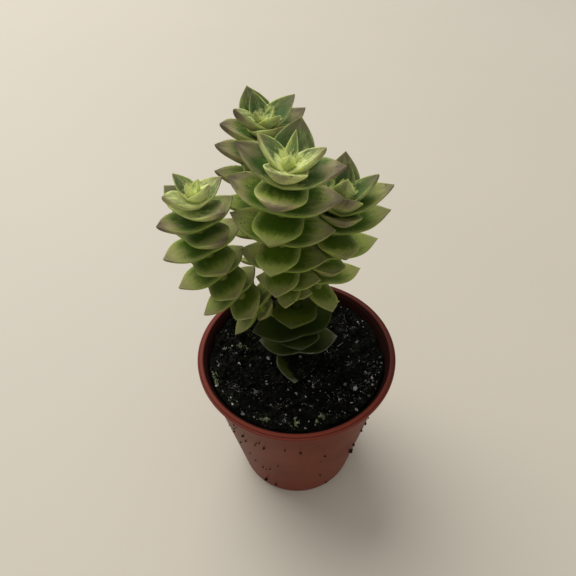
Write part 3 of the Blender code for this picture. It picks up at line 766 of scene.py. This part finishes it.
def potSurface(form, look):
    skin = Surface("terracottaPlastic")
    place = skin.node("SeparateXYZ")
    skin.feed(place.inputs[0], skin.place())
    x, y, z = place.outputs
    radius = skin.math("SQRT", skin.scaled(y, y, skin.times(x, x)))
    colour = skin.blend(skin.span(skin.noise(60, 3), 0.35, 0.65), look["dark"], look["light"])
    # redder near the foot and at the rim, where light comes through the thin wall
    colour = skin.blend(skin.span(z, 0.0, 0.020, look["footShare"], 0), colour, look["foot"])
    rim = skin.span(z, potHeight - 0.0022, potHeight - 0.0010)
    colour = skin.blend(rim, colour, look["rim"])
    # the rim is painted darker at the back and on the right
    towards = skin.scaled(x, 0.8, skin.times(y, 0.6))
    backRightDark = skin.times(skin.span(towards, 0.002, 0.022, 0, look["backRightDarkShare"]), rim)
    colour = skin.blend(backRightDark, colour, look["backRightDark"])
    # painted shadow: a dark line along the groove at the rim's outer top edge
    fromGroove = skin.math("ABSOLUTE", skin.math("SUBTRACT", radius, form["rim"] - form["grooveAt"]))
    groove = skin.times(skin.span(fromGroove, 0.00006, 0.00018, 1, 0), rim)
    colour = skin.blend(skin.times(groove, look["grooveShadeShare"]), colour, look["groove"])
    # dry dust and splashes of soil
    dust = skin.span(skin.noise(420, 6, 0.72), 0.50, 0.72)
    dust = skin.times(dust, skin.span(skin.noise(55, 2), 0.45, 0.7))
    colour = skin.blend(skin.times(dust, look["dustShare"]), colour, look["dust"])
    specks = skin.span(skin.cells(900), 0.10, 0.17, 1, 0)
    specks = skin.times(specks, skin.span(skin.noise(90, 2), 0.54, 0.62))
    colour = skin.blend(skin.times(specks, look["speckShare"]), colour, look["speck"])
    # painted shade: the wall inside the pot, above the soil, is painted dark for the shade that falls there
    taper = (form["bodyTop"] - form["base"]) / potHeight
    fromOuter = skin.math("SUBTRACT", radius, skin.scaled(z, taper, form["base"]))
    inside = skin.times(skin.span(fromOuter, -0.00022, -0.00004, 1, 0), skin.span(z, 0.030, 0.034))
    colour = skin.blend(skin.times(inside, look["innerWallShadeShare"]), colour, look["innerWallShade"])
    rough = skin.math("MAXIMUM", skin.span(dust, 0, 1, 0.46, 0.65), inside)
    relief = skin.bump(skin.noise(70, 2), 0.25, 0.0006)
    relief = skin.bump(skin.noise(1600, 3), 0.15, 0.00005, relief)
    return skin.finish(
        Base_Color=colour, Roughness=rough, Normal=relief, Specular_IOR_Level=look["gloss"],
        Subsurface_Weight=look["glow"], Subsurface_Radius=(1.0, 0.25, 0.12), Subsurface_Scale=0.0010)


pot = makePot(potForm, potSurface(potForm, potLook))
for face in pot.data.polygons:
    face.use_smooth = True
pot.data.set_sharp_from_angle(angle=math.radians(40))
print("pot turned")


# soil: a rough plug of peat with crumbs, perlite, fibres and moss on it
soilForm = {
    "depth": 0.0059, "slope": 0.045, "rough": 0.00035, "waves": (0.0153, 0.0180, 0.0083),
    "heap": 0.0034, "heapFrom": 0.5,
    "rings": 60, "sides": 170, "low": 0.0019, "clods": 0.00105, "gap": 0.0003,
    "clodScale": 400, "lumpScale": 170, "lumpShare": 0.8, "underLeaf": 0.0002,
}


def soilHeight(x, y):
    form = soilForm
    waveX, waveY, waveAcross = form["waves"]
    waves = math.sin(math.tau * x / waveX + 1.3) * math.cos(math.tau * y / waveY - 0.6)
    waves += 0.6 * math.sin(math.tau * (x + y) / waveAcross + 2.0)
    outward = max(0.0, math.hypot(x, y) / brim - form["heapFrom"]) / (1 - form["heapFrom"])
    heap = form["heap"] * outward * outward * (3 - 2 * outward)
    return potHeight - form["depth"] - form["slope"] * y + heap + form["rough"] * waves


brim = outerRadius(potHeight - soilForm["depth"] + soilForm["heap"] / 2) - wall - soilForm["gap"]
buriedLeaf = treeOf([testLeaf(plant["mother_stem"][-1], (1, 0), 0.0002)])
up, down = Vector((0, 0, 1)), Vector((0, 0, -1))


def roughGround(x, y):
    # the soil's top, with clods, and pressed down under the leaf that lies on it
    spot = Vector((x, y, 0))
    form = soilForm
    clods = noise.fractal(spot * form["clodScale"], 0.75, 2.1, 4)
    clods += form["lumpShare"] * noise.noise(spot * form["lumpScale"])
    z = soilHeight(x, y) + form["clods"] * clods
    under = buriedLeaf.ray_cast(Vector((x, y, 0.03)), up)[0]
    return z if under is None else min(z, under.z - form["underLeaf"])


def makeSoil(form, material):
    shape = bmesh.new()
    foot = outerRadius(form["low"]) - wall - form["gap"]
    bmesh.ops.create_cone(shape, cap_ends=True, segments=form["sides"], radius1=foot, radius2=brim,
                          depth=0.040, matrix=Matrix.Translation((0, 0, form["low"] + 0.020)))
    shape.faces.ensure_lookup_table()
    top = max(shape.faces, key=lambda face: face.calc_center_median().z)
    for ring in range(form["rings"]):
        bmesh.ops.inset_region(shape, faces=[top], thickness=brim / (form["rings"] + 1),
                               use_even_offset=False)
    bmesh.ops.poke(shape, faces=[top])
    for vert in shape.verts:
        if vert.co.z > 0.020:
            vert.co.z = roughGround(vert.co.x, vert.co.y)
    return newPiece("peat_soil", shape, material, ["soil"])


soilLook = {
    "darkPeat": {"dark": (0.0008, 0.0009, 0.0006), "light": (0.0040, 0.0040, 0.0028), "shine": 0.85,
                 "patch": (0.0080, 0.0066, 0.0042)},
    "crumbPeat": {"dark": (0.0012, 0.0013, 0.0009), "light": (0.0080, 0.0078, 0.0054), "shine": 0.8,
                  "patch": (0.022, 0.021, 0.014)},
    "driedPeat": {"dark": (0.008, 0.006, 0.005), "light": (0.035, 0.024, 0.017), "shine": 0.85,
                  "patch": (0.0080, 0.0066, 0.0042)},
}
soilBits = (0.050, 0.056, 0.036)


def soilSurface(name):
    skin, look = Surface(name), soilLook[name]
    grain = skin.noise(1500, 5, 0.7)
    colour = skin.blend(skin.span(grain, 0.35, 0.75), look["dark"], look["light"])
    patches = skin.span(skin.noise(210, 3), 0.52, 0.72)
    colour = skin.blend(skin.times(patches, 0.5), colour, look["patch"])
    # lighter, mossy bits that gather in some places
    gather = skin.span(skin.noise(260, 3, 0.6), 0.48, 0.62)
    flecks = skin.span(skin.noise(2300, 4, 0.75), 0.54, 0.64)
    colour = skin.blend(skin.times(flecks, gather), colour, soilBits)
    relief = skin.bump(grain, 0.9, 0.0003, skin.bump(skin.noise(500, 4), 0.8, 0.0005))
    return skin.finish(Base_Color=colour, Roughness=look["shine"], Normal=relief, Specular_IOR_Level=0.04)


makeSoil(soilForm, soilSurface("darkPeat"))
print("soil filled")


def onSoil(draw, edge=0.97):
    reach = brim * edge * math.sqrt(draw.random())
    angle = draw.uniform(0, math.tau)
    return reach * math.cos(angle), reach * math.sin(angle)


def coveredByLeaf(x, y):
    return buriedLeaf.ray_cast(Vector((x, y, 0.07)), down)[0]


crumbForm = {
    # how many, least and greatest radius, and the power that makes the large ones rare
    "small": (3000, 0.00015, 0.00045, 2.0), "medium": (700, 0.0004, 0.0011, 2.0),
    "large": (70, 0.0009, 0.0019, 1.5),
    # the line past which they cover the leaf on the soil: x over y
    "coverFrom": -0.0036, "coverSlope": -0.44, "onLeaf": 1250, "leafX": (-0.004, 0.0085),
    "leafY": (-0.0105, 0.0015), "leafSizes": (0.0002, 0.0006), "ragged": (0.0004, 2100),
}


def edgeOfCover(y):
    return crumbForm["coverFrom"] + crumbForm["coverSlope"] * y


def makeCrumbs(form, material):
    draw = random.Random(71)
    kinds = lumps("crumbKind", 6, 1, 0.9, 0, 0.8)
    clods = lumps("clodKind", 4, 2, 1.1, 8, 0.7)
    shape = bmesh.new()
    for size in ("small", "medium", "large"):
        count, least, most, power = form[size]
        for _ in range(count):
            x, y = onSoil(draw, 0.985)
            radius = least + (most - least) * draw.random() ** power
            kind = draw.choice(clods if size == "large" else kinds)
            if coveredByLeaf(x, y) is not None or math.hypot(x, y) + 0.8 * radius > brim:
                continue
            spot = (x, y, roughGround(x, y) + radius * draw.uniform(-0.3, 0.3))
            stretch = (radius * draw.uniform(0.8, 1.5), radius * draw.uniform(0.7, 1.1),
                       radius * draw.uniform(0.5, 0.9))
            dropIn(shape, kind, placed(spot, tumble(draw).to_quaternion(), stretch))
    # crumbs heaped on the right part of the leaf that lies on the soil
    depth, rate = form["ragged"]
    for _ in range(form["onLeaf"]):
        x = draw.uniform(*form["leafX"])
        y = draw.uniform(*form["leafY"])
        hit = coveredByLeaf(x, y)
        if hit is None or x < edgeOfCover(y) + depth * math.sin(y * rate):
            continue
        size = draw.uniform(*form["leafSizes"])
        spot = (x, y, hit.z + size * draw.uniform(0.0, 0.9))
        dropIn(shape, draw.choice(kinds), placed(spot, tumble(draw).to_quaternion(), (size,) * 3))
    return newPiece("peat_crumbs", shape, material, smooth=False)


makeCrumbs(crumbForm, soilSurface("crumbPeat"))
print("crumbs scattered")

# grains at their places, in millimetres from the pot's middle, with their radius
largeGrains = (
    (-20.7, 2.8, 0.60), (-21.5, -3.4, 0.50), (-16.4, -1.1, 0.60), (-21.7, -10.2, 0.50), (-6.1, -5.0, 0.40),
    (1.1, -0.8, 0.75), (3.5, -7.3, 0.42), (18.0, 5.1, 0.62), (15.1, 0.3, 0.35), (17.7, -2.2, 0.32),
    (18.3, -9.9, 0.42), (15.4, -12.0, 0.70), (13.1, -9.0, 0.55), (2.0, -12.2, 0.42), (9.9, -13.7, 0.38),
    (7.5, -11.0, 0.32), (-0.3, -11.5, 0.50), (-1.4, -15.4, 0.42), (1.7, -23.6, 0.52), (-14.1, -19.3, 0.50),
    (14.9, -18.6, 0.50), (23.5, -4.1, 0.36), (23.3, -2.3, 0.30), (23.1, -5.8, 0.30), (-17.3, 2.1, 0.40),
    (-13.3, -1.1, 0.36), (-10.5, 1.4, 0.30), (-19.1, -5.1, 0.34), (-12.6, -5.3, 0.30), (-13.9, -10.0, 0.30),
    (-9.5, -13.1, 0.30), (5.4, -13.7, 0.34), (12.2, -14.2, 0.30), (14.0, -16.3, 0.34), (18.7, -14.3, 0.32),
    (20.4, -8.3, 0.30), (-21.2, 0.4, 0.34), (-18.7, 4.8, 0.40), (-19.7, 7.0, 0.34), (-14.8, 1.6, 0.30),
    (16.1, 3.3, 0.30), (12.2, -4.4, 0.30), (8.8, -8.6, 0.34), (-2.5, -10.1, 0.34), (-4.5, -13.0, 0.30),
    (0.5, -17.9, 0.40), (-3.2, -19.3, 0.34), (2.6, -21.5, 0.30), (8.2, -18.6, 0.34), (-10.8, -18.3, 0.34),
    (-17.4, -14.6, 0.32), (-19.7, -12.3, 0.32), (20.7, -12.3, 0.34), (-8.1, 0.9, 0.80), (-7.3, -0.4, 0.45),
)
grainForm = {"placedSize": 0.80, "count": 620, "least": 0.00006, "more": 0.00030, "leafEdge": 0.0002,
             "gatherScale": 190, "gatherFrom": (-0.15, 0.45)}


def gathered(draw, edge=0.97):
    # a place on the soil, more often where the light bits gather
    scale = grainForm["gatherScale"]
    while True:
        x, y = onSoil(draw, edge)
        if noise.noise(Vector((x * scale, y * scale, 3.3))) > draw.uniform(*grainForm["gatherFrom"]):
            return x, y


def makePerlite(form, material):
    draw = random.Random(19)
    kinds = lumps("grainKind", 5, 1, 0.9, 20, 0.8)
    knobbly = lumps("knobKind", 4, 2, 1.3, 31, 0.85)
    shape = bmesh.new()
    grains = [(x / 1000, y / 1000, form["placedSize"] * size / 1000, knobbly)
              for x, y, size in largeGrains]
    while len(grains) < form["count"]:
        grains.append((*gathered(draw), form["least"] + form["more"] * draw.random() ** 3, kinds))
    for x, y, size, choice in grains:
        hit = coveredByLeaf(x, y)
        if hit is not None and x < edgeOfCover(y) + form["leafEdge"]:
            continue
        base = hit.z if hit is not None else roughGround(x, y)
        stretch = (size * draw.uniform(0.8, 1.25), size * draw.uniform(0.6, 1), size * draw.uniform(0.6, 0.9))
        dropIn(shape, draw.choice(choice),
               placed((x, y, base + size * 0.5), tumble(draw).to_quaternion(), stretch))
    return newPiece("perlite_grains", shape, material, smooth=False)


grainLook = {"dark": (0.12, 0.125, 0.11), "light": (0.50, 0.50, 0.47), "dirt": (0.055, 0.058, 0.040),
             "dirtShare": 0.75}


def perliteSurface(look):
    skin = Surface("perliteGrain")
    colour = skin.blend(skin.span(skin.noise(1400, 4, 0.7), 0.35, 0.65), look["dark"], look["light"])
    dirty = skin.span(skin.noise(160, 2), 0.42, 0.60, look["dirtShare"], 0)
    colour = skin.blend(dirty, colour, look["dirt"])
    relief = skin.bump(skin.noise(2600, 4, 0.7), 0.8, 0.0002)
    return skin.finish(Base_Color=colour, Roughness=0.75, Normal=relief)


makePerlite(grainForm, perliteSurface(grainLook))


def strand(shape, start, heading, radius, length, draw, lift=0.25, sides=4, steps=6):
    # a thin fibre: a small ring drawn out step by step along a wandering line
    ring = bmesh.ops.create_circle(shape, segments=sides, radius=radius, cap_ends=True)["verts"]
    way = Vector((math.cos(heading), math.sin(heading), lift))
    turn = way.to_track_quat("Z", "Y").to_matrix()
    bmesh.ops.transform(shape, verts=ring, matrix=placed(start, turn.to_quaternion()))
    face = next(iter(set(ring[0].link_faces)))
    bend = draw.uniform(-0.7, 0.7)
    for step in range(steps):
        made = bmesh.ops.extrude_discrete_faces(shape, faces=[face])
        face = made["faces"][0]
        heading += bend * draw.uniform(0.3, 1.2)
        sink = lift * (1 - 2.2 * (step + 1) / steps)
        move = Vector((math.cos(heading), math.sin(heading), sink)) * (length / steps)
        bmesh.ops.translate(shape, verts=face.verts, vec=move)
        taper = 0.86 if step < steps - 1 else 0.4
        centre = face.calc_center_median()
        bmesh.ops.scale(shape, verts=face.verts, vec=(taper,) * 3, space=Matrix.Translation(-centre))


# tufts of fibres: place in millimetres, spread in millimetres and how many
fibreTufts = (
    (-17.3, -10.1, 1.3, 24), (14.9, -2.1, 1.2, 26), (3.2, -15.8, 0.8, 14), (-2.7, -21.0, 1.6, 20),
    (6.8, -19.0, 1.2, 14), (-11.5, -11.4, 1.2, 14), (20.6, -6.2, 1.3, 18), (15.5, -10.9, 1.0, 12),
    (-9.2, -20.6, 1.0, 10), (-20.2, 3.4, 1.0, 10), (15.2, 8.0, 1.4, 10),
)
# single roots: place, heading, length and radius, all in millimetres
roots = (
    (5.7, -7.3, -1.9, 2.6, 0.13), (12.3, 5.0, 0.5, 4.6, 0.13), (4.6, -8.6, 1.3, 2.0, 0.10),
    (21.4, 14.6, 2.3, 3.2, 0.10), (-15.0, 2.6, 1.5, 2.2, 0.10), (13.2, -12.4, -1.2, 2.0, 0.09),
    (-9.8, -11.8, 0.2, 1.8, 0.08), (-22.4, -1.8, -0.9, 2.2, 0.09),
)
fibreForm = {"tuftLengths": (0.0006, 0.0018), "tuftRadii": (0.00004, 0.00008), "loose": 300,
             "looseLengths": (0.0005, 0.0018), "looseRadii": (0.00003, 0.00006), "rise": 0.00015}


def makeFibres(form, material):
    draw = random.Random(37)
    shape = bmesh.new()
    strands = [(x / 1000, y / 1000, heading, length / 1000, radius / 1000)
               for x, y, heading, length, radius in roots]
    for middleX, middleY, spread, count in fibreTufts:
        for _ in range(count):
            x, y = draw.gauss(middleX, spread * 0.5) / 1000, draw.gauss(middleY, spread * 0.5) / 1000
            strands.append((x, y, draw.uniform(0, math.tau), draw.uniform(*form["tuftLengths"]),
                            draw.uniform(*form["tuftRadii"])))
    for _ in range(form["loose"]):
        strands.append((*gathered(draw, 0.95), draw.uniform(0, math.tau),
                        draw.uniform(*form["looseLengths"]), draw.uniform(*form["looseRadii"])))
    for x, y, heading, length, radius in strands:
        if coveredByLeaf(x, y) is not None or math.hypot(x, y) > 0.97 * brim:
            continue
        strand(shape, (x, y, roughGround(x, y) + form["rise"]), heading, radius, length, draw)
    bmesh.ops.recalc_face_normals(shape, faces=shape.faces)
    return newPiece("soil_fibres", shape, material)


def plainSurface(name, first, second, scale, rough):
    skin = Surface(name)
    colour = skin.blend(skin.span(skin.noise(scale, 3), 0.35, 0.65), first, second)
    return skin.finish(Base_Color=colour, Roughness=rough,
                       Normal=skin.bump(skin.noise(scale * 2, 3), 0.4, 0.0001))


makeFibres(fibreForm, plainSurface("dryFibre", (0.10, 0.095, 0.085), (0.30, 0.29, 0.27), 700, 0.7))

# lumps of moss: place, radius of the lump in millimetres and how many blades
mossLumps = (
    (-22.6, -7.0, 0.95, 24), (-21.9, -9.2, 0.80, 18), (-8.1, -20.5, 0.90, 22), (-0.6, -21.7, 1.00, 26),
    (-1.9, -22.4, 0.60, 12), (6.0, -20.0, 0.80, 18), (4.6, -21.5, 0.50, 10), (-16.4, 5.1, 0.80, 12),
    (-14.6, 4.5, 0.70, 10),
)
mossForm = {"lumpsPerMillimetre": 26, "lumpSizes": (0.14, 0.34), "rise": (0.0, 0.6),
            "bladeRadii": (0.00005, 0.00010), "bladeLengths": (0.0005, 0.0012), "bladeLift": (0.5, 1.6)}


def makeMoss(form, material):
    draw = random.Random(53)
    kinds = lumps("mossKind", 4, 1, 1.0, 70)
    shape = bmesh.new()
    for middleX, middleY, radius, blades in mossLumps:
        for _ in range(int(form["lumpsPerMillimetre"] * radius)):
            x, y = draw.gauss(middleX, radius * 0.42) / 1000, draw.gauss(middleY, radius * 0.42) / 1000
            size = radius * draw.uniform(*form["lumpSizes"]) / 1000
            rise = radius * draw.uniform(*form["rise"]) / 1000
            if math.hypot(x, y) < brim * 0.985:
                dropIn(shape, draw.choice(kinds), placed((x, y, roughGround(x, y) + rise),
                                                         tumble(draw).to_quaternion(), (size,) * 3))
        for _ in range(blades):
            x, y = draw.gauss(middleX, radius * 0.6) / 1000, draw.gauss(middleY, radius * 0.6) / 1000
            if math.hypot(x, y) < brim * 0.975:
                strand(shape, (x, y, roughGround(x, y)), draw.uniform(0, math.tau),
                       draw.uniform(*form["bladeRadii"]), draw.uniform(*form["bladeLengths"]), draw,
                       lift=draw.uniform(*form["bladeLift"]), steps=4)
    bmesh.ops.recalc_face_normals(shape, faces=shape.faces)
    return newPiece("moss_tufts", shape, material)


makeMoss(mossForm, plainSurface("greyGreenMoss", (0.070, 0.090, 0.035), (0.24, 0.27, 0.13), 900, 0.8))
print("perlite, fibres and moss laid")

# soil stuck to the pot's outside: angle, height in millimetres, radius in millimetres
potSpecks = (
    (-128.5, 37.9, 0.34), (-127.6, 34.9, 0.30), (-112.8, 37.2, 0.42), (-115.4, 39.8, 0.26),
    (-98.6, 39.7, 0.26), (-89.0, 37.9, 0.36), (-71.8, 31.6, 0.30), (-42.9, 19.9, 0.80),
    (-40.6, 22.4, 0.42), (-39.1, 31.9, 0.34), (-35.2, 33.8, 0.40), (-31.8, 30.8, 0.34),
    (-36.4, 29.6, 0.30), (-42.7, 24.4, 0.34), (-111.8, 4.5, 0.42), (-121.5, 5.4, 0.60),
    (-120.1, 17.8, 0.28), (-113.3, 19.2, 0.26), (-71.7, 14.3, 0.30), (-119.6, 36.4, 0.24),
    (-136.6, 28.3, 0.32), (-129.7, 24.3, 0.26), (-61.7, 2.3, 0.30), (-126.0, 20.5, 0.24),
    (-105.6, 24.8, 0.22), (-140.2, 33.5, 0.30), (-33.5, 35.9, 0.26), (-117.9, 38.4, 0.20),
)
speckForm = {"allRound": 46, "heights": (0.004, 0.047), "sizes": (0.0001, 0.00028)}


def makeSpecks(form, material):
    draw = random.Random(29)
    kinds = lumps("speckKind", 4, 2, 1.0, 50)
    shape = bmesh.new()
    specks = [(math.radians(angle), z / 1000, size / 1000) for angle, z, size in potSpecks]
    for _ in range(form["allRound"]):
        specks.append((draw.uniform(0, math.tau), draw.uniform(*form["heights"]),
                       draw.uniform(*form["sizes"])))
    for angle, z, size in specks:
        reach = outerRadius(z) + 0.25 * size
        spot = (reach * math.cos(angle), reach * math.sin(angle), z)
        dropIn(shape, draw.choice(kinds), placed(spot, tumble(draw).to_quaternion(),
                                                 (size, size * draw.uniform(0.6, 1), size * 0.75)))
    return newPiece("soil_specks", shape, material)


makeSpecks(speckForm, soilSurface("driedPeat"))
print("specks on the pot")


# floor and light
floorForm = {"size": 3.0, "colour": (0.46, 0.422, 0.355), "darker": 0.95}
lightForm = {
    # place, size, power and colour of each round light
    "windowLight": ((-0.62, 0.86, 1.45), 1.7, 33.0, (1.0, 0.985, 0.95)),
    "frontFill": ((0.4, -1.2, 0.8), 0.9, 2.0, (1.0, 0.96, 0.90)),
}
lightAim = (0, 0, 0.05)
roomForm = {"strength": 0.60, "colour": (1.0, 0.98, 0.95)}


def makeFloor(form):
    shape = bmesh.new()
    bmesh.ops.create_grid(shape, x_segments=2, y_segments=2, size=form["size"] / 2)
    floor = linked("plainFloor", meshOf("plainFloor", shape))
    skin = Surface("paleFloor")
    darker = tuple(part * form["darker"] for part in form["colour"])
    colour = skin.blend(skin.noise(9, 3), form["colour"], darker)
    floor.data.materials.append(skin.finish(Base_Color=colour, Roughness=0.6))


def makeLight(name, spot, size, power, colour):
    data = bpy.data.lights.new(name, "AREA")
    data.shape, data.size, data.energy, data.color = "DISK", size, power, colour
    light = linked(name, data)
    light.location = spot
    light.rotation_euler = (Vector(lightAim) - Vector(spot)).to_track_quat("-Z", "Y").to_euler()


def makeRoom(form):
    world = bpy.data.worlds.new("softRoom")
    world.use_nodes = True
    background = world.node_tree.nodes["Background"]
    background.inputs["Color"].default_value = (*form["colour"], 1)
    background.inputs["Strength"].default_value = form["strength"]
    bpy.context.scene.world = world


makeFloor(floorForm)
for name, light in lightForm.items():
    makeLight(name, *light)
makeRoom(roomForm)
bpy.context.scene.view_settings.view_transform = "Standard"
print("floor and light set")
